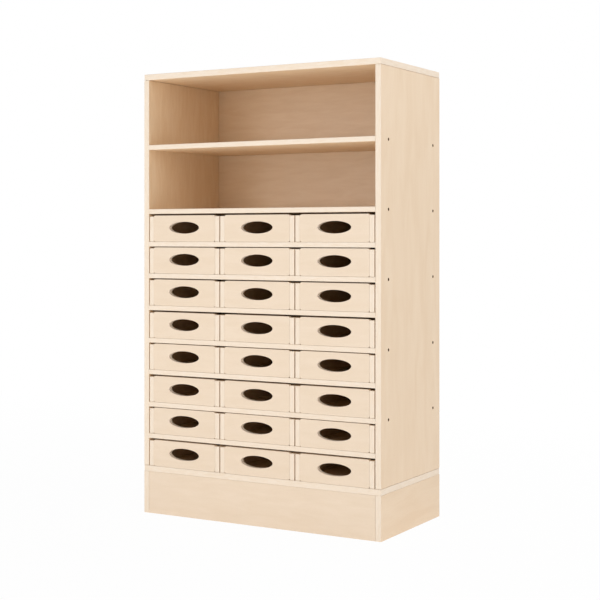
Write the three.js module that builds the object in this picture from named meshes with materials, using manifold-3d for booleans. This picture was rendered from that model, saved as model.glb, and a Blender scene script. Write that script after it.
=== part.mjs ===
// Classroom tray storage unit: a maple-faced carcass on a plinth frame, with two open
// bays over a bank of pull-out trays. Millimetres, +Z up, the front faces -Y, and the
// origin lies on the floor under the middle of the carcass.

import * as THREE from "three";
import { mergeVertices } from "three/addons/utils/BufferGeometryUtils.js";
import Module from "manifold-3d";

// Carcass
const carcassWidth = 826;
const carcassDepth = 405;
const carcassBoard = 18; // sides, top, base and plinth
const shelfBoard = 15;
const plinthHeight = 130;
const plinthRecess = 0.5; // front board behind the front edges of its side boards
const upperBayHeight = 203; // clear, under the top
const lowerBayHeight = 185; // clear, over the tray bank
const backBoard = 4;
const backInset = 3.5; // rear edges to the back panel's outer face
const backGrooveDepth = 6;

// Tray bank
const trayColumns = 3;
// How far each shelf between two rows lies above even spacing, top shelf first
const trayShelfRise = [-1.5, -0.3, 0, -1.3, 0, -0.9, 0.9];
const trayHeadroom = 3.8; // a compartment's clear height beyond the tray front
const traySideGap = 2.5;
const trayFrontRecess = 0.5;
const trayRearGap = 1.5;

// Tray
const trayBoard = 15;
const trayFrontHeight = 81.2;
const traySideDrop = 3; // the sides lie lower than the front
const trayBackDrop = 2; // and the back lies lower than the sides
const trayFrontSetback = 0.5; // front board's face behind the front edges of the sides
const trayHousing = 5; // how far boards are housed in one another
const trayBottomBoard = 4;
const trayBottomRise = 6;
const handHoleWidth = 110.8;
const handHoleHeight = 36.6;
const handHoleCentre = 43; // above the tray's lower edge
const handHoleSegments = 24;

// Edges
const edgeRadius = 1.5; // lipped edges
const panelCornerRadius = 3; // plan corners of the top and the base
const rimEasing = 1; // hand hole and tray front

// Screws through the sides into every second shelf, dowels in the others
const fixingInset = 49; // from the front and rear edges
const screwHeadBore = 7.2;
const screwHeadSink = 3;
const screwShankBore = 4.4;
const screwLength = 50;
const dowelDiameter = 8;
const dowelLength = 30;
const dowelInSide = 12; // the part of a dowel that lies in the side panel
const dowelChamfer = 1;
const boreSegments = 8;

const jointGap = 0.3; // between boards that meet, and under a tray

// Sizes that follow
const innerWidth = carcassWidth - 2 * carcassBoard;
const frontY = -carcassDepth / 2;
const backFaceY = -frontY - backInset - backBoard;
const innerDepth = backFaceY - frontY;
const fixingYs = [frontY + fixingInset, -frontY - fixingInset];

const trayRows = trayShelfRise.length + 1;
const rowPitch = trayFrontHeight + trayHeadroom + shelfBoard;
const baseTopZ = plinthHeight + carcassBoard;
const bankTopZ = baseTopZ + trayRows * rowPitch;
const bayShelfTopZ = bankTopZ + lowerBayHeight + shelfBoard;
const topUndersideZ = bayShelfTopZ + upperBayHeight;

const trayWidth = (innerWidth - (trayColumns + 1) * traySideGap) / trayColumns;
const trayDepth = innerDepth - trayFrontRecess - trayRearGap;
const trayInnerWidth = trayWidth - 2 * trayBoard;
const traySideHeight = trayFrontHeight - traySideDrop;
const trayBackHeight = traySideHeight - trayBackDrop;

// Height of the upper face of the shelf under a row of trays, counted from the top
function trayShelfTopZ(row) {
  return bankTopZ - row * rowPitch + trayShelfRise[row - 1];
}

const trayShelves = Array.from({ length: trayRows - 1 }, (_, i) => ({
  name: `tray_shelf_${i + 1}`,
  topZ: trayShelfTopZ(i + 1),
  screwed: i % 2 === 1,
}));
const shelves = [
  { name: "bay_shelf", topZ: bayShelfTopZ, screwed: true },
  { name: "bank_top_shelf", topZ: bankTopZ, screwed: true },
  ...trayShelves,
];
const screwedShelves = shelves.filter((shelf) => shelf.screwed);
const dowelledShelves = shelves.filter((shelf) => !shelf.screwed);

const shelfMiddleZ = (shelf) => shelf.topZ - shelfBoard / 2;

// Finishes
const maple = { color: 0xf0dcc4, roughness: 0.45, metalness: 0 };
const mapleInside = { color: 0xe6cba9, roughness: 0.5, metalness: 0 };
const beech = { color: 0xd9b48a, roughness: 0.7, metalness: 0 };

const wasm = await Module();
wasm.setup();

// A closed geometry as a solid that can be cut and joined
function solidOf(geometry) {
  const bare = geometry.clone();
  bare.deleteAttribute("normal");
  bare.deleteAttribute("uv");
  const welded = mergeVertices(bare);
  const mesh = new wasm.Mesh({
    numProp: 3,
    vertProperties: welded.attributes.position.array,
    triVerts: new Uint32Array(welded.index.array),
  });
  return new wasm.Manifold(mesh);
}

function geometryOf(solid) {
  const mesh = solid.getMesh();
  const geometry = new THREE.BufferGeometry();
  geometry.setAttribute("position", new THREE.BufferAttribute(mesh.vertProperties, 3));
  geometry.setIndex(new THREE.BufferAttribute(mesh.triVerts, 1));
  geometry.computeVertexNormals();
  return geometry;
}

function cut(geometry, tools) {
  const solid = tools.reduce((left, tool) => left.subtract(solidOf(tool)), solidOf(geometry));
  return geometryOf(solid);
}

function join(geometries) {
  const solids = geometries.map(solidOf);
  return geometryOf(solids.reduce((joined, solid) => joined.add(solid)));
}

// Outline through corners given as [u, v, radius], each rounded by its radius
function outline(corners) {
  const points = corners.map(([u, v]) => new THREE.Vector2(u, v));
  const shape = new THREE.Shape();
  corners.forEach(([u, v, radius = 0], i) => {
    const before = points.at(i - 1);
    const after = points[(i + 1) % points.length];
    const enter = before.clone().sub(points[i]).setLength(radius).add(points[i]);
    const leave = after.clone().sub(points[i]).setLength(radius).add(points[i]);
    if (i === 0) {
      shape.moveTo(enter.x, enter.y);
    } else {
      shape.lineTo(enter.x, enter.y);
    }
    if (radius > 0) {
      shape.quadraticCurveTo(u, v, leave.x, leave.y);
    }
  });
  shape.closePath();
  return shape;
}

const plainExtrusion = { bevelEnabled: false, curveSegments: 3 };

// Board with a plan outline (x, y), standing from z = 0
function uprightBoard(corners, height) {
  return new THREE.ExtrudeGeometry(outline(corners), { ...plainExtrusion, depth: height });
}

// Board with a section (y, z), lying across the unit and centred on x = 0
function crossBoard(corners, length) {
  const geometry = new THREE.ExtrudeGeometry(outline(corners), { ...plainExtrusion, depth: length });
  const alongX = new THREE.Matrix4().makeBasis(
    new THREE.Vector3(0, 1, 0),
    new THREE.Vector3(0, 0, 1),
    new THREE.Vector3(1, 0, 0),
  );
  return geometry.applyMatrix4(alongX).translate(-length / 2, 0, 0);
}

// Rectangular block between two corners
function block(low, high) {
  const size = high.map((value, i) => value - low[i]);
  const middle = high.map((value, i) => (value + low[i]) / 2);
  return new THREE.BoxGeometry(...size).translate(...middle);
}

// Round bore along X between two places
function boreAlongX(diameter, fromX, toX, y, z) {
  const length = Math.abs(toX - fromX);
  return new THREE.CylinderGeometry(diameter / 2, diameter / 2, length, boreSegments)
    .rotateZ(Math.PI / 2)
    .translate((fromX + toX) / 2, y, z);
}

// Side panel: lipped at the front, grooved for the back and bored for screws and dowels.
// hand is -1 for the left panel and 1 for the right; z counts from the panel's foot.
function sidePanel(hand, footZ, height) {
  const outerX = (hand * carcassWidth) / 2;
  const innerX = (hand * innerWidth) / 2;
  const grooveX = innerX + hand * backGrooveDepth;
  const panel = uprightBoard(
    [
      [outerX, frontY, edgeRadius],
      [innerX, frontY, edgeRadius],
      [innerX, backFaceY - jointGap],
      [grooveX, backFaceY - jointGap],
      [grooveX, backFaceY + backBoard + jointGap],
      [innerX, backFaceY + backBoard + jointGap],
      [innerX, -frontY],
      [outerX, -frontY],
    ],
    height,
  );
  const headSeatX = outerX - hand * screwHeadSink;
  const screwBores = screwedShelves.flatMap((shelf) => {
    const z = shelfMiddleZ(shelf) - footZ;
    return fixingYs.flatMap((y) => [
      boreAlongX(screwHeadBore, outerX + hand, headSeatX, y, z),
      boreAlongX(screwShankBore, outerX, innerX - hand, y, z),
    ]);
  });
  const dowelEndX = innerX + hand * (dowelInSide + jointGap);
  const dowelBores = dowelledShelves.flatMap((shelf) => {
    const z = shelfMiddleZ(shelf) - footZ;
    const diameter = dowelDiameter + 2 * jointGap;
    return fixingYs.map((y) => boreAlongX(diameter, innerX - hand, dowelEndX, y, z));
  });
  return cut(panel, [...screwBores, ...dowelBores]);
}

// Top or base: lipped all round, with a groove for the back in the face at grooveFaceZ
function wideBoard(grooveFaceZ, grooveFloorZ) {
  const halfWidth = carcassWidth / 2;
  const corners = [
    [-halfWidth, frontY, panelCornerRadius],
    [halfWidth, frontY, panelCornerRadius],
    [halfWidth, -frontY, panelCornerRadius],
    [-halfWidth, -frontY, panelCornerRadius],
  ];
  const board = new THREE.ExtrudeGeometry(outline(corners), {
    curveSegments: 3,
    depth: carcassBoard - 2 * edgeRadius,
    bevelThickness: edgeRadius,
    bevelSize: edgeRadius,
    bevelOffset: -edgeRadius,
    bevelSegments: 2,
  }).translate(0, 0, edgeRadius);
  const halfGroove = innerWidth / 2 + backGrooveDepth;
  const zs = [grooveFaceZ, grooveFloorZ].sort((a, b) => a - b);
  const groove = block(
    [-halfGroove, backFaceY - jointGap, zs[0]],
    [halfGroove, backFaceY + backBoard + jointGap, zs[1]],
  );
  return cut(board, [groove]);
}

// Shelf between the sides, lipped at the front, bored in its ends for its screws or dowels
function shelfPanel(screwed) {
  const length = innerWidth - 2 * jointGap;
  const rearY = backFaceY - jointGap;
  const board = crossBoard(
    [
      [frontY, 0, edgeRadius],
      [rearY, 0],
      [rearY, shelfBoard],
      [frontY, shelfBoard, edgeRadius],
    ],
    length,
  );
  const screwInShelf = screwLength - (carcassBoard - screwHeadSink);
  const diameter = screwed ? screwShankBore : dowelDiameter + 2 * jointGap;
  const reach = screwed ? screwInShelf : dowelLength - dowelInSide;
  const bores = [-1, 1].flatMap((hand) => {
    const boreEndX = hand * (innerWidth / 2 - reach - jointGap);
    const mouthX = (hand * innerWidth) / 2;
    return fixingYs.map((y) => boreAlongX(diameter, mouthX, boreEndX, y, shelfBoard / 2));
  });
  return cut(board, bores);
}

// Dowel along X, chamfered at both ends and centred on its middle
function dowel() {
  const radius = dowelDiameter / 2;
  const half = dowelLength / 2;
  const profile = [
    [0, -half],
    [radius - dowelChamfer, -half],
    [radius, -half + dowelChamfer],
    [radius, half - dowelChamfer],
    [radius - dowelChamfer, half],
    [0, half],
  ].map(([r, along]) => new THREE.Vector2(r, along));
  return new THREE.LatheGeometry(profile, boreSegments).rotateZ(Math.PI / 2);
}

// Tray front: a board with eased edges and an oval hand hole, tongued into the sides
function trayFront() {
  const half = trayInnerWidth / 2;
  const tongueHalf = half + trayHousing;
  const tongueTop = traySideHeight - trayHousing;
  const shape = outline([
    [-tongueHalf, 0],
    [tongueHalf, 0],
    [tongueHalf, tongueTop],
    [half, tongueTop],
    [half, trayFrontHeight],
    [-half, trayFrontHeight],
    [-half, tongueTop],
    [-tongueHalf, tongueTop],
  ]);
  const hole = new THREE.Path();
  hole.absellipse(0, handHoleCentre, handHoleWidth / 2, handHoleHeight / 2, 0, 2 * Math.PI, true, 0);
  shape.holes.push(hole);
  return new THREE.ExtrudeGeometry(shape, {
    curveSegments: handHoleSegments / 2,
    depth: trayBoard - 2 * rimEasing,
    bevelThickness: rimEasing,
    bevelSize: rimEasing,
    bevelOffset: -rimEasing,
    bevelSegments: 1,
  })
    .rotateX(Math.PI / 2)
    .translate(0, trayFrontSetback + trayBoard - rimEasing, 0);
}

// Tray: front and back housed between two sides, over a thin bottom in grooves.
// Its front edges are at y = 0, its lower edges at z = 0, and it is centred on x = 0.
function trayBox() {
  const sideX = (trayInnerWidth + trayBoard) / 2;
  const housedHalf = trayInnerWidth / 2 + trayHousing;
  const sides = [-1, 1].map((hand) =>
    crossBoard(
      [
        [0, 0, edgeRadius],
        [trayDepth, 0],
        [trayDepth, traySideHeight],
        [0, traySideHeight, edgeRadius],
      ],
      trayBoard,
    ).translate(hand * sideX, 0, 0),
  );
  const backInnerY = trayDepth - trayBoard;
  const back = block([-housedHalf, backInnerY, 0], [housedHalf, trayDepth, trayBackHeight]);
  const frontInnerY = trayFrontSetback + trayBoard;
  const bottom = block(
    [-housedHalf, frontInnerY - trayHousing, trayBottomRise],
    [housedHalf, backInnerY + trayHousing, trayBottomRise + trayBottomBoard],
  );
  return join([...sides, trayFront(), back, bottom]);
}

function piece(name, geometry, finish, position = [0, 0, 0]) {
  const mesh = new THREE.Mesh(geometry, new THREE.MeshStandardMaterial(finish));
  mesh.name = name;
  mesh.position.set(...position);
  return mesh;
}

// Plinth frame: front and rear boards between two side boards
function plinth() {
  const group = new THREE.Group();
  const height = plinthHeight - jointGap;
  [-1, 1].forEach((hand) => {
    const outerX = (hand * carcassWidth) / 2;
    const innerX = (hand * innerWidth) / 2;
    const board = uprightBoard(
      [
        [outerX, frontY, edgeRadius],
        [innerX, frontY, edgeRadius],
        [innerX, -frontY],
        [outerX, -frontY],
      ],
      height,
    );
    group.add(piece(hand < 0 ? "plinth_left" : "plinth_right", board, maple));
  });
  const crossSection = [
    [0, 0],
    [carcassBoard, 0],
    [carcassBoard, height],
    [0, height],
  ];
  const crossLength = innerWidth - 2 * jointGap;
  const cross = crossBoard(crossSection, crossLength);
  group.add(piece("plinth_front", cross, maple, [0, frontY + plinthRecess, 0]));
  group.add(piece("plinth_back", cross.clone(), maple, [0, -frontY - carcassBoard, 0]));
  return group;
}

function carcass() {
  const group = new THREE.Group();
  const sideFootZ = baseTopZ + jointGap;
  const sideHeight = topUndersideZ - jointGap - sideFootZ;
  const left = sidePanel(-1, sideFootZ, sideHeight);
  const right = sidePanel(1, sideFootZ, sideHeight);
  group.add(piece("left_side_panel", left, maple, [0, 0, sideFootZ]));
  group.add(piece("right_side_panel", right, maple, [0, 0, sideFootZ]));

  const base = wideBoard(carcassBoard - backGrooveDepth, carcassBoard + edgeRadius);
  group.add(piece("base_panel", base, maple, [0, 0, plinthHeight]));
  const top = wideBoard(-edgeRadius, backGrooveDepth);
  group.add(piece("top_panel", top, maple, [0, 0, topUndersideZ]));

  const halfBack = innerWidth / 2 + backGrooveDepth - jointGap;
  const backEndOverlap = backGrooveDepth - jointGap;
  const back = block(
    [-halfBack, backFaceY, baseTopZ - backEndOverlap],
    [halfBack, backFaceY + backBoard, topUndersideZ + backEndOverlap],
  );
  group.add(piece("back_panel", back, mapleInside));

  const screwedShelf = shelfPanel(true);
  const dowelledShelf = shelfPanel(false);
  shelves.forEach((shelf) => {
    const geometry = shelf.screwed ? screwedShelf : dowelledShelf;
    const z = shelf.topZ - shelfBoard;
    group.add(piece(shelf.name, geometry.clone(), maple, [0, 0, z]));
  });
  return group;
}

// Four dowels for each shelf that no screw holds
function shelfDowels() {
  const group = new THREE.Group();
  const pin = dowel();
  const pinX = innerWidth / 2 + dowelInSide - dowelLength / 2;
  dowelledShelves.forEach((shelf) => {
    ["left", "right"].forEach((end) => {
      ["front", "rear"].forEach((place, i) => {
        const x = end === "left" ? -pinX : pinX;
        const name = `dowel_${shelf.name}_${end}_${place}`;
        group.add(piece(name, pin.clone(), beech, [x, fixingYs[i], shelfMiddleZ(shelf)]));
      });
    });
  });
  return group;
}

function trayBank() {
  const group = new THREE.Group();
  const tray = trayBox();
  const columnPitch = trayWidth + traySideGap;
  for (let row = 1; row <= trayRows; row += 1) {
    const floorZ = row < trayRows ? trayShelfTopZ(row) : baseTopZ;
    for (let column = 1; column <= trayColumns; column += 1) {
      const x = (column - (trayColumns + 1) / 2) * columnPitch;
      const position = [x, frontY + trayFrontRecess, floorZ + jointGap];
      group.add(piece(`tray_r${row}_c${column}`, tray.clone(), maple, position));
    }
  }
  return group;
}

const unit = new THREE.Group();
unit.add(plinth(), carcass(), shelfDowels(), trayBank());

export default unit;
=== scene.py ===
# %% [markdown]
# # Classroom tray storage unit
# The real unit is a cupboard without doors: maple-faced boards on a plinth, two open bays under
# the top, and eight rows of three wooden trays that slide out between thin shelves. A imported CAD
# model already settles every size and every joint, so it is loaded first and stays as it is.
# Each board is then made again with the edges, joints and finish that the eye looks for.

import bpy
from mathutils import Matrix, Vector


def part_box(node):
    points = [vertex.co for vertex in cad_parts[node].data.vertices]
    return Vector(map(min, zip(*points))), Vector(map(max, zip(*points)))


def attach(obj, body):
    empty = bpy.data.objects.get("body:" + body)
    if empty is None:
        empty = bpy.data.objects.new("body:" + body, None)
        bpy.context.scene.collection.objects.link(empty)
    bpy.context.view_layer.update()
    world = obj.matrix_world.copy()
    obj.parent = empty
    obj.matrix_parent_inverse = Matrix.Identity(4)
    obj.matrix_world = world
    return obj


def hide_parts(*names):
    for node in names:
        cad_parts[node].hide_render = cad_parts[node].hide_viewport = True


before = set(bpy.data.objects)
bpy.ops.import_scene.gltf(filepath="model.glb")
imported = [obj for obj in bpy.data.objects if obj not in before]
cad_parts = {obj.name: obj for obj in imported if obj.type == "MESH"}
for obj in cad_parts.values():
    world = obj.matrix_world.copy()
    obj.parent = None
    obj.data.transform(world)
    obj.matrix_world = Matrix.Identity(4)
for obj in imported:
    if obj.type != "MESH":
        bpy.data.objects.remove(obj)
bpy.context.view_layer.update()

# %% [markdown]
# ## The pieces and their places
# Every new board takes the place of a CAD node, so its two opposite corners are read from that
# node and no size is written twice. Only what the CAD model leaves out, such as the thickness of
# an edge strip, gets a number here. Blender counts in metres and joiners in millimetres.

# %% Name the pieces
import math
import random

import bmesh
import bpy
import numpy as np
from mathutils import Vector

MM = 0.001
tray_names = sorted(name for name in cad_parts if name.startswith("tray_r"))
dowel_names = sorted(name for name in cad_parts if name.startswith("dowel_"))
shelf_names = sorted(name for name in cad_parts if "shelf" in name and name not in dowel_names)
print(len(tray_names), "trays,", len(shelf_names), "shelves,", len(dowel_names), "dowels")

# %% [markdown]
# ## Colours and nodes
# Colours are picked on a screen, as hex values, but a renderer adds up light, so each is
# turned to linear values first. Materials and Geometry Nodes are both node trees. One helper adds
# a node, sets it, fills its sockets with numbers or links, and hands back the output to use next.

# %% A hex colour as linear light
def linear(hex_colour):
    shares = [int(hex_colour[i:i + 2], 16) / 255 for i in (0, 2, 4)]
    return [s / 12.92 if s <= 0.04045 else ((s + 0.055) / 1.055) ** 2.4 for s in shares] + [1.0]


print("maple in linear light", [round(value, 3) for value in linear("F0D9BD")])

# %% One helper for every node
def socket(sockets, key):
    """A socket by its identifier, which is unique, or else by its name."""
    return next((s for s in sockets if s.identifier == key), None) or sockets[key]


def add(tree, kind, settings={}, inputs={}, out=0):
    """Adds a node to a tree and returns one of its outputs."""
    node = tree.nodes.new(kind)
    for name, value in settings.items():
        setattr(node, name, value)
    for key, value in inputs.items():
        into = socket(node.inputs, key)
        for one in value if isinstance(value, list) and into.is_multi_input else [value]:
            if isinstance(one, bpy.types.NodeSocket):
                tree.links.new(one, into)
            else:
                into.default_value = one
    if not node.outputs:
        return None
    return node.outputs[out] if isinstance(out, int) else socket(node.outputs, out)


def empty_material(name):
    material = bpy.data.materials.new(name)
    material.use_nodes = True
    material.node_tree.nodes.clear()
    return material


print("kinds of shader node", sum(kind.startswith("ShaderNode") for kind in dir(bpy.types)))

# %% [markdown]
# ## Lacquered wood
# Maple is pale and close-grained. From across a room it is nearly one colour, with faint streaks
# two fingers wide, and close up it has fine fibres and short brown flecks. A picture of wood would
# repeat from board to board, so noise is stretched along the grain instead. Each board carries an
# attribute that says where a point lies along, across and through the grain, and one material
# then serves boards that run upwards, sideways or from front to back.

# %% A wood from its colours and the width of its figure
def wood(name, pale, warm, fleck, figure_width, roughness, gloss):
    """Colours are hex values, and the figure's width is in millimetres."""
    material = empty_material(name)
    tree = material.node_tree
    place = add(tree, "ShaderNodeAttribute", {"attribute_name": "grain"}, out="Vector")
    # Length and width in millimetres, detail and distortion; a streak is six times as long as wide
    patterns = {
        "figure": (figure_width * 6, figure_width, 3.0, 0.6),
        "board": (3000, 3000, 0.0, 0.0),
        "fibre": (45, 0.8, 2.0, 0.0),
        "fleck": (5, 0.45, 1.0, 0.0),
    }
    noise = {}
    for pattern, (length, width, detail, distortion) in patterns.items():
        scale = (1 / (length * MM), 1 / (width * MM), 1 / (width * MM))
        spot = add(tree, "ShaderNodeMapping", {}, {"Vector": place, "Scale": scale})
        values = {"Vector": spot, "Scale": 1.0, "Detail": detail, "Distortion": distortion}
        noise[pattern] = add(tree, "ShaderNodeTexNoise", {}, values)
    # From which value to which a pattern shows, how strongly, and the colour it brings
    layers = (
        ("figure", 0.33, 0.67, 1.0, warm),
        ("board", 0.3, 0.7, 0.35, warm),
        ("fibre", 0.45, 0.8, 0.3, warm),
        ("fleck", 0.66, 0.8, 0.35, fleck),
    )
    colour = linear(pale)
    for pattern, low, high, strength, tint in layers:
        ends = {"Value": noise[pattern], "From Min": low, "From Max": high, "To Max": strength}
        share = add(tree, "ShaderNodeMapRange", {}, ends)
        mixed = {"Factor_Float": share, "A_Color": colour, "B_Color": linear(tint)}
        colour = add(tree, "ShaderNodeMix", {"data_type": "RGBA"}, mixed, out="Result_Color")
    ends = {"From Min": 0.2, "From Max": 0.8, "To Min": roughness - 0.05, "To Max": roughness + 0.05}
    shine = add(tree, "ShaderNodeMapRange", {}, {"Value": noise["fibre"], **ends})
    ridges = {"Height": noise["fibre"], "Strength": 0.12, "Distance": 0.1 * MM}
    bump = add(tree, "ShaderNodeBump", {}, ridges)
    values = {"Base Color": colour, "Roughness": shine, "Normal": bump, "Specular IOR Level": gloss}
    surface = add(tree, "ShaderNodeBsdfPrincipled", {}, values)
    add(tree, "ShaderNodeOutputMaterial", {}, {"Surface": surface})
    return material


# Maple veneer under satin lacquer: pale cream, with streaks that hardly show from a distance
maple_veneer = wood("maple_veneer_satin_lacquer", "F0D9BD", "E9CFB0", "C49A6C", 36, 0.45, 0.4)
print(maple_veneer.name, len(maple_veneer.node_tree.nodes), "nodes")

# %% The other woods of the unit
# The faces that look into the unit get a warmer, more saturated copy of the veneer, which paints in
# the glow of light bounced round the bays
maple_painted_inner_glow = wood("maple_veneer_painted_inner_glow", "F5DBB9", "EDCFA9", "C0925F", 14, 0.45, 0.4)
# The tray fronts and the plinth front get a paler, whiter copy of the maple, with the whiter light
# that falls on the fronts painted in
pale_veneer_painted_light = wood("maple_veneer_pale_painted_light", "EDD9C2", "E9D4BB", "C49A6C", 20, 0.45, 0.4)
# Solid maple edge strips, sanded round: a shade lighter and straighter than the veneer
maple_lipping = wood("maple_lipping_sanded_lacquer", "F3E4D2", "EFDCC5", "DDBE98", 5, 0.48, 0.4)
# Maple-faced back board, with a plainer figure and a glossier lacquer than the sides
maple_back = wood("maple_back_board_lacquer", "F5DCBC", "EDD1AE", "C49A6C", 18, 0.4, 0.7)
# Beech dowels, unfinished: pinkish brown and dry, with many short dark flecks
beech = wood("beech_dowel_unfinished", "DDB98F", "CFA578", "9A6B42", 3, 0.75, 0.3)
print([made.name for made in (maple_painted_inner_glow, pale_veneer_painted_light, maple_lipping, maple_back, beech)])

# %% [markdown]
# ## Chipboard core and dark steel
# Where a board is bored or grooved, the tool has gone through the veneer into pressed chips, which
# look like brown crumbs. Cells of a Voronoi pattern, each with its own tone, give those. The sunk
# screw heads are steel with a black oxide finish, which is dark and dull with a little grit.

# %% Chipboard where a board is cut
chipboard = empty_material("chipboard_core_cut")
tree = chipboard.node_tree
place = add(tree, "ShaderNodeTexCoord", out="Object")
# Chips about 1.5 mm across
cells = {"Vector": place, "Scale": 1 / (1.5 * MM)}
chip = add(tree, "ShaderNodeTexVoronoi", {}, cells, out="Color")
tone = add(tree, "ShaderNodeSeparateColor", {}, {"Color": chip})
colours = {"Factor_Float": tone, "A_Color": linear("B08A5E"), "B_Color": linear("7C5632")}
colour = add(tree, "ShaderNodeMix", {"data_type": "RGBA"}, colours, out="Result_Color")
bump = add(tree, "ShaderNodeBump", {}, {"Height": tone, "Strength": 0.4, "Distance": 0.2 * MM})
values = {"Base Color": colour, "Roughness": 0.9, "Normal": bump}
surface = add(tree, "ShaderNodeBsdfPrincipled", {}, values)
add(tree, "ShaderNodeOutputMaterial", {}, {"Surface": surface})
print(chipboard.name, len(tree.nodes), "nodes")

# %% Black oxide steel for the screws
black_steel = empty_material("black_oxide_steel_screw")
tree = black_steel.node_tree
place = add(tree, "ShaderNodeTexCoord", out="Object")
# Grit about 0.3 mm across
grains = {"Vector": place, "Scale": 1 / (0.3 * MM), "Detail": 3.0}
grit = add(tree, "ShaderNodeTexNoise", {}, grains)
colours = {"Factor_Float": grit, "A_Color": linear("140E08"), "B_Color": linear("261C12")}
colour = add(tree, "ShaderNodeMix", {"data_type": "RGBA"}, colours, out="Result_Color")
ends = {"From Min": 0.3, "From Max": 0.7, "To Min": 0.45, "To Max": 0.65}
shine = add(tree, "ShaderNodeMapRange", {}, {"Value": grit, **ends})
bump = add(tree, "ShaderNodeBump", {}, {"Height": grit, "Strength": 0.2, "Distance": 0.03 * MM})
values = {"Base Color": colour, "Metallic": 1.0, "Roughness": shine, "Normal": bump}
surface = add(tree, "ShaderNodeBsdfPrincipled", {}, values)
add(tree, "ShaderNodeOutputMaterial", {}, {"Surface": surface})
print(black_steel.name, len(tree.nodes), "nodes")

# %% [markdown]
# ## A board
# A cube with a Bevel modifier gives every edge the same radius, but a joiner rounds the edge that
# is touched and only breaks the others. So a board is built from rings of points: an outline with
# its own radius at each corner, drawn in step by step over each rim. The two broad faces close it,
# and an oval hole, where there is one, is a second set of rings that runs through the board.

# %% Rims and outlines
def quarter_round(radius, steps=4):
    """Inset and depth over a rounded rim, from the edge to the broad face."""
    turns = [math.radians(90 * k / steps) for k in range(steps + 1)]
    return [(radius * (1 - math.cos(t)), radius * (1 - math.sin(t))) for t in turns]


QUADRANTS = ((1, 1), (-1, 1), (-1, -1), (1, -1))


def outline(low, high, radii, inset, steps=4):
    """Points round a rectangle with rounded corners, drawn in by an inset."""
    points = []
    for quarter, (u, v) in enumerate(QUADRANTS):
        radius = radii[quarter]
        at = [(high[i] if s > 0 else low[i]) - s * radius for i, s in enumerate((u, v))]
        for k in range(steps + 1):
            turn = math.radians(90 * (quarter + k / steps))
            reach = radius - inset
            points.append((at[0] + reach * math.cos(turn), at[1] + reach * math.sin(turn)))
    return points


broken_edge = quarter_round(0.3 * MM, 2)
print("points on a broken edge", len(broken_edge))

# %% A board from rings
def slab(axis, low, high, radii, rims, finish=(0, 0), oval=None):
    """A board between two corners, closed along an axis; finish numbers its faces and its edges."""
    across = [i for i in range(3) if i != axis]
    levels = [(inset, low[axis] + depth) for inset, depth in reversed(rims[0])]
    levels += [(inset, high[axis] - depth) for inset, depth in rims[1]]
    board = bmesh.new()

    def ring(points, level):
        made = []
        for point in points:
            spot = [level] * 3
            spot[across[0]], spot[across[1]] = point
            made.append(board.verts.new(spot))
        return made

    def skin(rings):
        for i, (near, far) in enumerate(zip(rings, rings[1:])):
            for k in range(len(near)):
                face = board.faces.new((near[k - 1], near[k], far[k], far[k - 1]))
                # The band between the two rims is flat
                face.smooth = i != len(rims[0]) - 1
                face.material_index = finish[1]

    corners = [[corner[i] for i in across] for corner in (low, high)]
    shells = [[ring(outline(*corners, radii, inset), level) for inset, level in levels]]
    if oval:
        shells.append([ring(oval(inset), level) for inset, level in levels])
    for rings in shells:
        skin(rings)
    for end in (0, -1):
        loops = [rings[end] for rings in shells]
        if oval:
            pairs = [(loop[k - 1], loop[k]) for loop in loops for k in range(len(loop))]
            edges = [board.edges.get(pair) for pair in pairs]
            faces = bmesh.ops.triangle_fill(board, use_beauty=True, edges=edges)["geom"]
        else:
            faces = [board.faces.new(loops[0])]
        for face in faces:
            if isinstance(face, bmesh.types.BMFace):
                face.material_index = finish[0]
    bmesh.ops.recalc_face_normals(board, faces=board.faces)
    return board


trial = slab(2, (0, 0, 0), (1, 1, 18 * MM), [3 * MM] * 4, (broken_edge, broken_edge))
print("a trial board has", len(trial.faces), "faces")
trial.free()

# %% [markdown]
# ## Grain for a board
# A real board is cut from its own stretch of veneer. The attribute for the wood material is each
# corner's place, turned so that its first number runs along the grain and moved by a random
# amount, with a fixed seed so that every render is the same. An edge strip across the end of a
# board has its grain along the strip, so those faces are turned again.

# %% Where each corner lies in the wood
VENEER, STRIP, INSIDE, CORE = range(4)
cuttings = random.Random(24)


def lay_grain(mesh, along):
    """Writes the grain attribute for one board."""
    places = np.array([mesh.vertices[c.vertex_index].co for c in mesh.loops])
    extent = np.ptp(places, axis=0)
    shift = [cuttings.uniform(0, 20) for _ in range(3)]
    grain = np.empty_like(places)
    for face in mesh.polygons:
        run = along
        if face.material_index == STRIP and abs(face.normal[along]) > 0.5:
            run = max((i for i in range(3) if i != along), key=lambda i: extent[i])
        order = [run, (run + 1) % 3, (run + 2) % 3]
        corners = list(face.loop_indices)
        grain[corners] = places[corners][:, order] + shift
    layer = mesh.attributes.new("grain", "FLOAT_VECTOR", "CORNER")
    layer.data.foreach_set("vector", grain.ravel())


def board_mesh(board, along):
    """Turns a board into a mesh with its grain laid."""
    mesh = bpy.data.meshes.new("board")
    board.to_mesh(mesh)
    board.free()
    lay_grain(mesh, along)
    return mesh


print("finishes of a board: veneer", VENEER, "strip", STRIP, "inside", INSIDE, "core", CORE)

# %% [markdown]
# ## From boards to a piece of the unit
# Boards that are glued for good become one object, with its place in the mesh and not in the
# object. The piece is then told which CAD body it moves with, and the CAD nodes it stands for
# are hidden.

# %% Glue boards into a piece
pieces = []
# The third finish paints the glow bounced round the bays into the faces that look into the unit
carcass_finish = [maple_veneer, maple_lipping, maple_painted_inner_glow, chipboard]


def piece(name, meshes, materials, body, slot, *nodes):
    whole = bmesh.new()
    for mesh in meshes:
        whole.from_mesh(mesh)
    glued = bpy.data.meshes.new(name)
    whole.to_mesh(glued)
    whole.free()
    for material in materials:
        glued.materials.append(material)
    made = bpy.data.objects.new(name, glued)
    bpy.context.scene.collection.objects.link(made)
    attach(made, body)
    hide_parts(*nodes)
    pieces.append(made)
    return made


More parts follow.
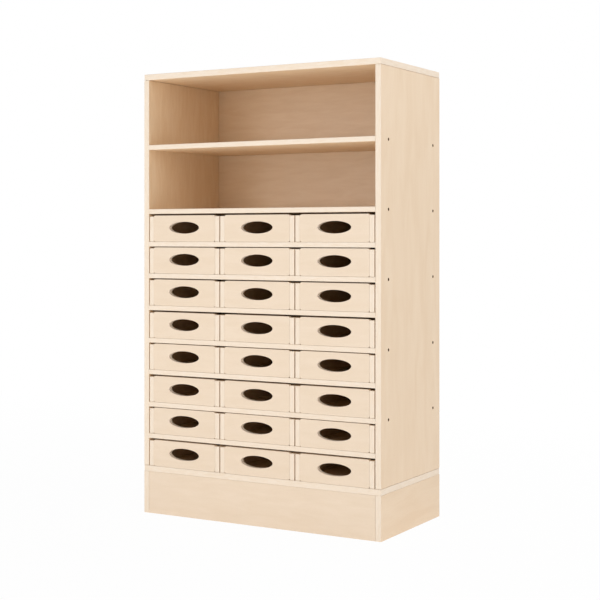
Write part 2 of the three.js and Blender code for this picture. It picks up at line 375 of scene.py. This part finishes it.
def face_inside(board, *ways):
    """Gives the inside colour, a copy of the veneer with the glow bounced round the bays painted in,
    to the faces that look one of these ways.
    """
    for face in board.faces:
        if any(face.normal.dot(Vector(way)) > 0.9 for way in ways):
            face.material_index = INSIDE
    return board


print("finishes of the carcass", [material.name for material in carcass_finish])

# %% [markdown]
# ## Room for the joints
# The back stands in grooves, dowels sit half in a side and half in a shelf, and sunk screws pass
# through the sides into the screwed shelves. Rather than cut each board by its own numbers, one
# tool shape holds the room that all of these need, and a Boolean modifier takes it from every
# board it meets. The cut faces get the chipboard finish.

# %% The tool shape
JOINT_GAP, GROOVE_PLAY = 0.3 * MM, 1.1 * MM
SCREW_HEAD_BORE, SCREW_HEAD_SINK, SCREW_SHANK_BORE = 9.2 * MM, 3 * MM, 4.4 * MM
SCREW_LENGTH = 50 * MM
tool = bmesh.new()


def turned(profile, y, z):
    """Adds a round shape along X to the tool, from places and radii."""
    steps = 32
    rings = []
    for x, radius in profile:
        turns = [2 * math.pi * k / steps for k in range(steps)]
        spots = [(x, y + radius * math.cos(t), z + radius * math.sin(t)) for t in turns]
        rings.append([tool.verts.new(spot) for spot in spots])
    for near, far in zip(rings, rings[1:]):
        for k in range(steps):
            tool.faces.new((near[k - 1], near[k], far[k], far[k - 1]))
    tool.faces.new(rings[0])
    tool.faces.new(rings[-1])


fixing_ys = set()
dowelled = set()
for name in dowel_names:
    low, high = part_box(name)
    middle = (low + high) / 2
    radius = (high.y - low.y) / 2 + JOINT_GAP
    turned([(low.x - JOINT_GAP, radius), (high.x + JOINT_GAP, radius)], middle.y, middle.z)
    fixing_ys.add(round(middle.y, 5))
    # A dowel's name holds the name of its shelf
    dowelled.add(name.split("dowel_")[1].rsplit("_", 2)[0])
print(len(dowel_names), "dowel bores at y", sorted(fixing_ys))

# %% Screw bores and the groove for the back
screw_seats = []
wide, narrow = SCREW_HEAD_BORE / 2, SCREW_SHANK_BORE / 2
for name in sorted(set(shelf_names) - dowelled):
    low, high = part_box(name)
    z = (low.z + high.z) / 2
    for hand, side in ((-1, "left_side_panel"), (1, "right_side_panel")):
        outer_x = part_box(side)[0].x if hand < 0 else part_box(side)[1].x
        seat_x = outer_x - hand * SCREW_HEAD_SINK
        tip_x = seat_x - hand * SCREW_LENGTH
        for y in sorted(fixing_ys):
            head = [(outer_x + hand * MM, wide), (seat_x, wide)]
            turned(head + [(seat_x, narrow), (tip_x, narrow)], y, z)
            screw_seats.append((hand, (seat_x, y, z)))

low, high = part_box("back_panel")
room = Vector((JOINT_GAP, GROOVE_PLAY, JOINT_GAP))
grown = [low - room, high + room]
groove = bmesh.ops.create_cube(tool, size=1)["verts"]
for vertex in groove:
    vertex.co = [grown[int(vertex.co[i] > 0)][i] for i in range(3)]
for face in tool.faces:
    face.material_index = CORE
bmesh.ops.recalc_face_normals(tool, faces=tool.faces)
tool_mesh = bpy.data.meshes.new("joint_room")
tool.to_mesh(tool_mesh)
tool_object = bpy.data.objects.new("joint_room", tool_mesh)
bpy.context.scene.collection.objects.link(tool_object)
print(len(screw_seats), "screw bores, and a groove round", [round(v, 3) for v in high - low])

# %% Take the tool shape from a board
def cut_joints(board):
    """Returns the board with the room for its joints cut away."""
    mesh = bpy.data.meshes.new("blank")
    board.to_mesh(mesh)
    blank = bpy.data.objects.new("blank", mesh)
    bpy.context.scene.collection.objects.link(blank)
    knife = blank.modifiers.new("joint_room", "BOOLEAN")
    knife.operation = "DIFFERENCE"
    knife.solver = "EXACT"
    knife.object = tool_object
    graph = bpy.context.evaluated_depsgraph_get()
    done = bpy.data.meshes.new_from_object(blank.evaluated_get(graph))
    board.clear()
    board.from_mesh(done)
    bpy.data.objects.remove(blank)
    return board


print("the tool has", len(tool_mesh.polygons), "faces")

# %% [markdown]
# ## Sides, shelves and plinth sides
# These boards show a lipped front edge: a strip of solid maple, 2 mm thick and rounded, glued on
# to hide the chips. On the real unit the strips are what catch the light as pale lines. The strip
# is made as its own little board in front of the core, because two broken edges that meet leave
# the hairline that a painted-on strip would not have.

# %% Boards with a lipped front edge
LIPPING, GLUE_LINE, END_SLIT = 2 * MM, 0.02 * MM, 0.5 * MM
EDGE_RADIUS, GLUED_EDGE, REAR_EDGE = 1.5 * MM, 0.6 * MM, 0.8 * MM


def lipped_board(node, axis, along, slit, *inside_ways):
    """A slit is left open at both ends of the board."""
    low, high = (Vector(corner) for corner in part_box(node))
    low[axis] += slit
    high[axis] -= slit
    ends = (broken_edge, broken_edge)

    def section(front, rear):
        toward = [quadrant[1] if axis == 2 else quadrant[0] for quadrant in QUADRANTS]
        return [front if side < 0 else rear for side in toward]

    core_low = low + Vector((0, LIPPING + GLUE_LINE, 0))
    core = slab(axis, core_low, high, section(GLUED_EDGE, REAR_EDGE), ends)
    core = cut_joints(face_inside(core, *inside_ways))
    strip_high = Vector((high.x, low.y + LIPPING, high.z))
    strip = slab(axis, low, strip_high, section(EDGE_RADIUS, GLUED_EDGE), ends, (STRIP, STRIP))
    meshes = [board_mesh(core, along), board_mesh(strip, along)]
    slot = "plinth_maple" if node.startswith("plinth") else "carcass_maple"
    piece(f"{node}_board", meshes, carcass_finish, "carcass", slot, node)


lipped_board("left_side_panel", 2, 2, END_SLIT, (1, 0, 0))
lipped_board("right_side_panel", 2, 2, END_SLIT, (-1, 0, 0))
for node in shelf_names:
    lipped_board(node, 0, 0, 0.0, (0, 0, 1), (0, 0, -1))
for made in pieces[:3]:
    finishes = [face.material_index for face in made.data.polygons]
    print(made.name, "faces of each finish", [finishes.count(k) for k in range(4)])

# %% [markdown]
# ## Top, base, plinth and back
# The top and the base cover the ends of the sides, so they are lipped all round, with a hairline
# two millimetres in from the edge where the strip meets the veneer. That line is part of the rim
# here: the rings dip a tenth of a millimetre and come up again.

# %% Top and base
PLAN_CORNER, SEATED_EDGE, HAIR, DIP = 3 * MM, 0.6 * MM, 0.15 * MM, 0.12 * MM
hairline = [(LIPPING - HAIR, 0.0), (LIPPING, DIP), (LIPPING + HAIR, 0.0)]
lipped_rim = quarter_round(EDGE_RADIUS) + hairline
seated_rim = quarter_round(SEATED_EDGE) + hairline
caps = (
    ("top_panel", (lipped_rim, lipped_rim), (0, 0, -1)),
    ("base_panel", (seated_rim, lipped_rim), (0, 0, 1)),
)
for node, rims, inside_way in caps:
    low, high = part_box(node)
    broad = slab(2, low, high, [PLAN_CORNER] * 4, rims, (VENEER, STRIP))
    for face in broad.faces:
        if face.material_index == VENEER and face.normal.dot(Vector(inside_way)) > 0.9:
            face.material_index = INSIDE
    meshes = [board_mesh(cut_joints(broad), 0)]
    made = piece(f"{node}_board", meshes, carcass_finish, "carcass", "carcass_maple", node)
    finishes = [face.material_index for face in made.data.polygons]
    print(made.name, "faces of each finish", [finishes.count(k) for k in range(4)])

# %% Plinth and back
for node in ("plinth_left", "plinth_right"):
    lipped_board(node, 2, 1, 0.0)
PLINTH_SLIT, PLAIN_CORNER = 0.1 * MM, 0.6 * MM
soft_edge = quarter_round(0.5 * MM, 3)
# The plinth boards take the paler copy of the maple, with the light on the fronts painted in
plain_boards = (
    ("plinth_front", pale_veneer_painted_light, "plinth_maple", PLINTH_SLIT),
    ("plinth_back", pale_veneer_painted_light, "plinth_maple", PLINTH_SLIT),
    ("back_panel", maple_back, "back_maple", 0.0),
)
for node, finish, slot, slit in plain_boards:
    low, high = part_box(node)
    apart = Vector((slit, 0, 0))
    plain = slab(1, low + apart, high - apart, [PLAIN_CORNER] * 4, (soft_edge, soft_edge))
    piece(f"{node}_board", [board_mesh(plain, 0)], [finish], "carcass", slot, node)
bpy.data.objects.remove(tool_object)
print(len(pieces), "carcass boards")

# %% [markdown]
# ## Trays
# A tray is a box of five boards. The front sits between the sides, a hair proud of them, and has
# rounded corners and an oval hand hole with a rounded rim. The sides are a little lower than the
# front, and their pale front edges frame it. The front is its own piece, because it is what the
# eye rests on, and the other four boards make the box behind it. All five ride on the tray's
# body, so they slide out together.

# %% Sizes inside a tray
TRAY_BOARD, BOTTOM_BOARD, BOTTOM_RISE = 15 * MM, 4 * MM, 6 * MM
# How far each board lies under the tray's upper edge
FRONT_DROP, SIDE_DROP, BACK_DROP = 0.3 * MM, 3.2 * MM, 5 * MM
# Room beside the sides, room round the boards between them, and the sides' place behind the front
PLAY, FIT, SIDE_SETBACK = 0.7 * MM, 0.35 * MM, 0.4 * MM
FRONT_CORNER, SIDE_CORNER, BOTTOM_CORNER = 6 * MM, 1.5 * MM, 0.5 * MM
HOLE_WIDTH, HOLE_HEIGHT, HOLE_CENTRE, HOLE_STEPS = 110.8 * MM, 36.6 * MM, 43 * MM, 72
tray_rim = quarter_round(0.5 * MM)
# The first finish paints in the whiter light on the fronts, and the third the glow bounced round the
# inside of a tray
tray_finish = [pale_veneer_painted_light, maple_lipping, maple_painted_inner_glow]
first_low, first_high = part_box(tray_names[0])
print("tray size in mm", [round(v / MM, 1) for v in first_high - first_low])

# %% The front with its hand hole
def tray_front(low, high):
    inner_low = Vector((low.x + TRAY_BOARD + PLAY + FIT, low.y, low.z))
    right, top = high.x - TRAY_BOARD - PLAY - FIT, high.z - FRONT_DROP
    inner_high = Vector((right, low.y + TRAY_BOARD, top))
    middle_x, middle_z = (low.x + high.x) / 2, low.z + HOLE_CENTRE

    def hand_hole(inset):
        across, up = HOLE_WIDTH / 2 + inset, HOLE_HEIGHT / 2 + inset
        turns = [2 * math.pi * k / HOLE_STEPS for k in range(HOLE_STEPS)]
        return [(middle_x + across * math.cos(t), middle_z + up * math.sin(t)) for t in turns]

    rims, finish = (tray_rim, tray_rim), (VENEER, STRIP)
    front = slab(1, inner_low, inner_high, [FRONT_CORNER] * 4, rims, finish, hand_hole)
    return board_mesh(face_inside(front, (0, 1, 0)), 0)


for name in tray_names:
    front = tray_front(*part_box(name))
    piece(f"{name}_front", [front], tray_finish, name, "tray_maple", name)
print(len(tray_names), "tray fronts of", len(front.polygons), "faces")

# %% The box behind the front
def tray_box(low, high):
    rims, radii, finish = (tray_rim, tray_rim), [SIDE_CORNER] * 4, (VENEER, STRIP)
    for edge_x, inward in ((low.x + PLAY, 1), (high.x - TRAY_BOARD - PLAY, -1)):
        near = (edge_x, low.y + SIDE_SETBACK, low.z)
        far = (edge_x + TRAY_BOARD, high.y, high.z - SIDE_DROP)
        side = slab(0, near, far, radii, rims, finish)
        yield board_mesh(face_inside(side, (inward, 0, 0)), 1)
    left, right = low.x + TRAY_BOARD + PLAY + FIT, high.x - TRAY_BOARD - PLAY - FIT
    ends = (left, high.y - TRAY_BOARD, low.z), (right, high.y, high.z - BACK_DROP)
    back = slab(1, *ends, radii, rims, finish)
    yield board_mesh(face_inside(back, (0, -1, 0)), 0)
    near_y, far_y = low.y + TRAY_BOARD + FIT, high.y - TRAY_BOARD - FIT
    bottom_z = low.z + BOTTOM_RISE
    ends = (left, near_y, bottom_z), (right, far_y, bottom_z + BOTTOM_BOARD)
    bottom = slab(2, *ends, [BOTTOM_CORNER] * 4, (broken_edge, broken_edge))
    yield board_mesh(face_inside(bottom, (0, 0, 1)), 0)


for name in tray_names:
    boards = list(tray_box(*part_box(name)))
    piece(f"{name}_box", boards, tray_finish, name, "tray_maple", name)
print(len(tray_names), "tray boxes of", len(boards), "boards")

# %% [markdown]
# ## Screws
# Twenty sunk screws hold the sides to the screwed shelves. They are all alike, so one Geometry
# Nodes tree makes a screw and puts a copy on each of twenty points. Head, key hole and shank are
# circles swept along short lines, and the thread is a small triangle swept along a spiral. The
# screw points along +Z from under its head, so that every length is a plain input. Realize
# Instances at the end turns the copies into real faces, because an export drops instances.

# %% A tree with named inputs
def new_tree(name, numbers):
    """A Geometry Nodes tree with points in, a mesh out, a material and named numbers."""
    tree = bpy.data.node_groups.new(name, "GeometryNodeTree")
    sockets = tree.interface
    sockets.new_socket("Points", in_out="INPUT", socket_type="NodeSocketGeometry")
    for number in numbers:
        sockets.new_socket(number, in_out="INPUT", socket_type="NodeSocketFloat")
    sockets.new_socket("Finish", in_out="INPUT", socket_type="NodeSocketMaterial")
    sockets.new_socket("Mesh", in_out="OUTPUT", socket_type="NodeSocketGeometry")
    entry = tree.nodes.new("NodeGroupInput")
    return tree, {output.name: output for output in entry.outputs if output.name}


screw_sizes = {
    "Head radius": 4.4 * MM, "Head height": 1.5 * MM, "Key mouth": -3 * MM, "Key radius": 2.3 * MM,
    "Key depth": 2.2 * MM, "Shank radius": 1.5 * MM, "Shank length": SCREW_LENGTH - 1 * MM,
    "Thread depth": 0.5 * MM, "Thread turns": 18.0,
}
screw_tree, size = new_tree("sunk_screw", screw_sizes)
print(screw_tree.name, "with inputs", list(size))

# %% Head, key hole, shank and thread
mouth = add(screw_tree, "ShaderNodeCombineXYZ", {}, {"Z": size["Key mouth"]})
rods = {
    "head": (32, "Head radius", (0, 0, 0), (0, 0, -1), "Head height"),
    "key": (6, "Key radius", mouth, (0, 0, 1), "Key depth"),
    "shank": (12, "Shank radius", (0, 0, 0), (0, 0, 1), "Shank length"),
}
made_rods = {}
for rod, (sides, radius, start, way, length) in rods.items():
    ring = {"Resolution": sides, "Radius": size[radius]}
    ring = add(screw_tree, "GeometryNodeCurvePrimitiveCircle", {}, ring)
    line = {"Start": start, "Direction": way, "Length": size[length]}
    line = add(screw_tree, "GeometryNodeCurvePrimitiveLine", {"mode": "DIRECTION"}, line)
    swept = {"Curve": line, "Profile Curve": ring, "Fill Caps": True}
    made_rods[rod] = add(screw_tree, "GeometryNodeCurveToMesh", {}, swept)
cut = {"Mesh 1": made_rods["head"], "Mesh 2": [made_rods["key"]]}
head = add(screw_tree, "GeometryNodeMeshBoolean", {"operation": "DIFFERENCE"}, cut)
helix = {
    "Resolution": 14, "Rotations": size["Thread turns"], "Height": size["Shank length"],
    "Start Radius": size["Shank radius"], "End Radius": size["Shank radius"],
}
helix = add(screw_tree, "GeometryNodeCurveSpiral", {}, helix)
ridge = {"Resolution": 3, "Radius": size["Thread depth"]}
ridge = add(screw_tree, "GeometryNodeCurvePrimitiveCircle", {}, ridge)
swept = {"Curve": helix, "Profile Curve": ridge, "Fill Caps": True}
thread = add(screw_tree, "GeometryNodeCurveToMesh", {}, swept)
whole = {"Geometry": [head, made_rods["shank"], thread]}
screw = add(screw_tree, "GeometryNodeJoinGeometry", {}, whole)
print(len(screw_tree.nodes), "nodes make one screw")

# %% Copies on points
def on_points(tree, size, shape, axis):
    """One copy of a shape on every point, with its axis turned inwards, as real faces."""
    vectors = {"data_type": "FLOAT_VECTOR"}
    inward = add(tree, "GeometryNodeInputNamedAttribute", vectors, {"Name": "inward"})
    facing = add(tree, "FunctionNodeAlignRotationToVector", {"axis": axis}, {"Vector": inward})
    spread = {"Points": size["Points"], "Instance": shape, "Rotation": facing}
    spread = add(tree, "GeometryNodeInstanceOnPoints", {}, spread)
    return add(tree, "GeometryNodeRealizeInstances", {}, {"Geometry": spread})


screws = on_points(screw_tree, size, screw, "Z")
finished = {"Geometry": screws, "Material": size["Finish"]}
screws = add(screw_tree, "GeometryNodeSetMaterial", {}, finished)
add(screw_tree, "NodeGroupOutput", {}, {"Mesh": screws})
print(len(screw_tree.nodes), "nodes in the screw tree")

# %% Grow the screws
def grow(name, tree, points, ways, values, slot, *nodes):
    """Runs a tree on points and keeps the result as a plain mesh, a piece of the carcass."""
    mesh = bpy.data.meshes.new(name)
    mesh.from_pydata(points, [], [])
    layer = mesh.attributes.new("inward", "FLOAT_VECTOR", "POINT")
    layer.data.foreach_set("vector", np.array(ways, float).ravel())
    made = bpy.data.objects.new(name, mesh)
    modifier = made.modifiers.new(name, "NODES")
    modifier.node_group = tree
    for item in tree.interface.items_tree:
        if item.name in values:
            modifier[item.identifier] = values[item.name]
    bpy.context.scene.collection.objects.link(made)
    graph = bpy.context.evaluated_depsgraph_get()
    plain = bpy.data.meshes.new_from_object(made.evaluated_get(graph))
    made.modifiers.clear()
    made.data = plain
    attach(made, "carcass")
    if nodes:
        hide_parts(*nodes)
    pieces.append(made)
    print(name, len(plain.polygons), "faces")


screw_points = [place for hand, place in screw_seats]
screw_ways = [(-hand, 0, 0) for hand, place in screw_seats]
screw_values = {**screw_sizes, "Finish": black_steel}
grow("side_screws", screw_tree, screw_points, screw_ways, screw_values, "screw_steel")

# %% [markdown]
# ## Dowels
# The shelves between the screwed ones stand on beech dowels, four to a shelf, which no eye sees
# once the unit is together. Dowels are fluted so that glue can escape. A star with a dozen blunt
# points is swept along a short line and made smaller at both ends.

# %% The dowel tree
dowel_boxes = [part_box(name) for name in dowel_names]
dowel_size = dowel_boxes[0][1] - dowel_boxes[0][0]
dowel_sizes = {
    "Outer radius": dowel_size.y / 2, "Flute radius": dowel_size.y / 2 - 0.4 * MM, "Flutes": 12.0,
    "Length": dowel_size.x, "Chamfer": 1 * MM,
}
dowel_tree, size = new_tree("fluted_dowel", dowel_sizes)
star = {"Inner Radius": size["Flute radius"], "Outer Radius": size["Outer radius"]}
star = add(dowel_tree, "GeometryNodeCurveStar", {}, {"Points": size["Flutes"], **star})
line = {"Direction": (1, 0, 0), "Length": size["Length"]}
line = add(dowel_tree, "GeometryNodeCurvePrimitiveLine", {"mode": "DIRECTION"}, line)
line = add(dowel_tree, "GeometryNodeResampleCurve", {}, {"Curve": line, "Count": 31})
run = add(dowel_tree, "GeometryNodeSplineParameter", out="Length")
rest = {"Value": size["Length"], "Value_001": run}
rest = add(dowel_tree, "ShaderNodeMath", {"operation": "SUBTRACT"}, rest)
nearest = {"Value": run, "Value_001": rest}
nearest = add(dowel_tree, "ShaderNodeMath", {"operation": "MINIMUM"}, nearest)
taper = {"Value": nearest, "From Max": size["Chamfer"], "To Min": 0.75, "To Max": 1.0}
taper = add(dowel_tree, "ShaderNodeMapRange", {}, taper)
swept = {"Curve": line, "Profile Curve": star, "Scale": taper, "Fill Caps": True}
dowel = add(dowel_tree, "GeometryNodeCurveToMesh", {}, swept)
print(len(dowel_tree.nodes), "nodes make one dowel")

# %% Grow the dowels
dowels = on_points(dowel_tree, size, dowel, "X")
laid = {"Geometry": dowels, "Name": "grain", "Value": add(dowel_tree, "GeometryNodeInputPosition")}
dowels = add(dowel_tree, "GeometryNodeStoreNamedAttribute", {"data_type": "FLOAT_VECTOR"}, laid)
finished = {"Geometry": dowels, "Material": size["Finish"]}
dowels = add(dowel_tree, "GeometryNodeSetMaterial", {}, finished)
add(dowel_tree, "NodeGroupOutput", {}, {"Mesh": dowels})

dowel_points = [(low.x, (low.y + high.y) / 2, (low.z + high.z) / 2) for low, high in dowel_boxes]
dowel_ways = [(1, 0, 0)] * len(dowel_names)
dowel_values = {**dowel_sizes, "Finish": beech}
grow("shelf_dowels", dowel_tree, dowel_points, dowel_ways, dowel_values, "dowel_beech", *dowel_names)

# %% [markdown]
# ## Floor and background
# The unit was photographed on white. A lit studio floor throws light back up, and that is what
# reaches the undersides of the shelves, so here the floor glows by itself, most in a pool at the
# front left. The camera sees it as mostly plain white. Near the unit enough of its real shade is
# left to keep the shadow, and far away it is quite white, so that no horizon shows. The world is
# split in the same way: white where it is seen or mirrored, and a soft grey as a light.

# %% The floor
def seen(tree):
    """1 for rays that are seen, mirrored or refracted, and 0 for rays that only carry light."""
    path = add(tree, "ShaderNodeLightPath").node.outputs
    share = path["Is Camera Ray"]
    for kind in ("Is Glossy Ray", "Is Transmission Ray"):
        either = {"Value": share, "Value_001": path[kind]}
        share = add(tree, "ShaderNodeMath", {"operation": "MAXIMUM"}, either)
    return share


# In metres: half the floor, the middle of the pool, where it starts to fade and ends, and where
# the floor is quite white
REACH, POOL, POOL_EDGE, POOL_END, WHITE_FROM = 20, (-0.8, -2.6, 0.0), 0.8, 2.6, 5.0
POOL_GLOW, FAR_GLOW, NEAR_WHITE = 1.05, 0.4, 0.97
floor_paint = empty_material("studio_floor_matt_white")
tree = floor_paint.node_tree
matt = add(tree, "ShaderNodeBsdfDiffuse", {}, {"Color": linear("FAFAFA")})
white = add(tree, "ShaderNodeEmission", {}, {"Color": (1, 1, 1, 1), "Strength": 1.0})
eye = seen(tree)
spot = {"Vector": add(tree, "ShaderNodeNewGeometry"), "Vector_001": POOL}
away = add(tree, "ShaderNodeVectorMath", {"operation": "DISTANCE"}, spot, out="Value")
ends = {"From Min": POOL_EDGE, "From Max": POOL_END, "To Min": POOL_GLOW, "To Max": FAR_GLOW}
pool = add(tree, "ShaderNodeMapRange", {}, {"Value": away, **ends})
unseen = add(tree, "ShaderNodeMath", {"operation": "SUBTRACT"}, {"Value": 1.0, "Value_001": eye})
glow = add(tree, "ShaderNodeMath", {"operation": "MULTIPLY"}, {"Value": pool, "Value_001": unseen})
glow = add(tree, "ShaderNodeEmission", {}, {"Color": (1, 1, 1, 1), "Strength": glow})
lit = add(tree, "ShaderNodeAddShader", {}, {"Shader": matt, "Shader_001": glow})
ends = {"From Min": POOL_END, "From Max": WHITE_FROM, "To Min": NEAR_WHITE, "To Max": 1.0}
fade = add(tree, "ShaderNodeMapRange", {}, {"Value": away, **ends})
share = add(tree, "ShaderNodeMath", {"operation": "MULTIPLY"}, {"Value": eye, "Value_001": fade})
surface = add(tree, "ShaderNodeMixShader", {}, {"Fac": share, "Shader": lit, "Shader_001": white})
add(tree, "ShaderNodeOutputMaterial", {}, {"Surface": surface})
corners = [(-REACH, -REACH, 0), (REACH, -REACH, 0), (REACH, REACH, 0), (-REACH, REACH, 0)]
floor_mesh = bpy.data.meshes.new("floor")
floor_mesh.from_pydata(corners, [], [(0, 1, 2, 3)])
floor_mesh.materials.append(floor_paint)
floor = bpy.data.objects.new("floor", floor_mesh)
bpy.context.scene.collection.objects.link(floor)
print("floor", 2 * REACH, "m square")

# %% The world
AMBIENT = 0.47
world = bpy.data.worlds.new("studio")
bpy.context.scene.world = world
world.use_nodes = True
tree = world.node_tree
tree.nodes.clear()
soft = add(tree, "ShaderNodeBackground", {}, {"Color": (1, 1, 1, 1), "Strength": AMBIENT})
plain = add(tree, "ShaderNodeBackground", {}, {"Color": (1, 1, 1, 1), "Strength": 1.0})
either = {"Fac": seen(tree), "Shader": soft, "Shader_001": plain}
surface = add(tree, "ShaderNodeMixShader", {}, either)
add(tree, "ShaderNodeOutputWorld", {}, {"Surface": surface})
print("world light", AMBIENT)

# %% [markdown]
# ## Light
# The front of the unit is brighter than its right side, the side grows darker towards the floor,
# and the bays grow darker towards their backs. So the main light is a large soft one at the front
# left. A second one at the right fills the left half of each bay, and a third overhead brings up
# the top and the upper part of the side.

# %% Soft boxes
def soft_box(name, place, aim, size, power):
    lamp = bpy.data.lights.new(name, "AREA")
    lamp.shape = "SQUARE"
    lamp.size = size
    lamp.energy = power
    made = bpy.data.objects.new(name, lamp)
    made.location = place
    made.rotation_euler = (Vector(aim) - Vector(place)).to_track_quat("-Z", "Y").to_euler()
    made.visible_camera = False
    bpy.context.scene.collection.objects.link(made)


soft_box("key_front_left", (-1.5, -4.8, 1.6), (0, 0, 0.7), 2.2, 36)
soft_box("fill_right", (3.4, -2.0, 2.4), (0, 0, 0.8), 2.0, 29)
soft_box("overhead_right", (1.3, 0.4, 3.4), (0.3, 0, 1.0), 1.8, 17)

# %% [markdown]
# ## Camera
# The lens and the place come from matching the unit's own corners to the photograph's: a level
# camera 0.87 m up, thirty degrees round to the right. The picture was cut off-centre from a larger
# one, which is what the shift repeats.

# %% Camera
lens = bpy.data.cameras.new("camera")
lens.lens = 80.17
lens.sensor_width = 36
lens.shift_y = -0.1075
camera = bpy.data.objects.new("camera", lens)
camera.location = (2.0949, -3.5851, 0.8657)
camera.rotation_euler = (math.radians(90), 0, math.radians(29.903))
bpy.context.scene.collection.objects.link(camera)
bpy.context.scene.camera = camera
bpy.context.scene.view_settings.view_transform = "Standard"
print("camera", [round(v, 2) for v in camera.location], "lens", lens.lens, "mm")

# %% [markdown]
# ## Last checks
# The made pieces must fill the same box as the CAD model; here only the pieces and their
# triangles are counted.

# %% Count the pieces and triangles
triangles = sum(len(face.vertices) - 2 for made in pieces for face in made.data.polygons)
print(len(pieces), "pieces with", triangles, "triangles")
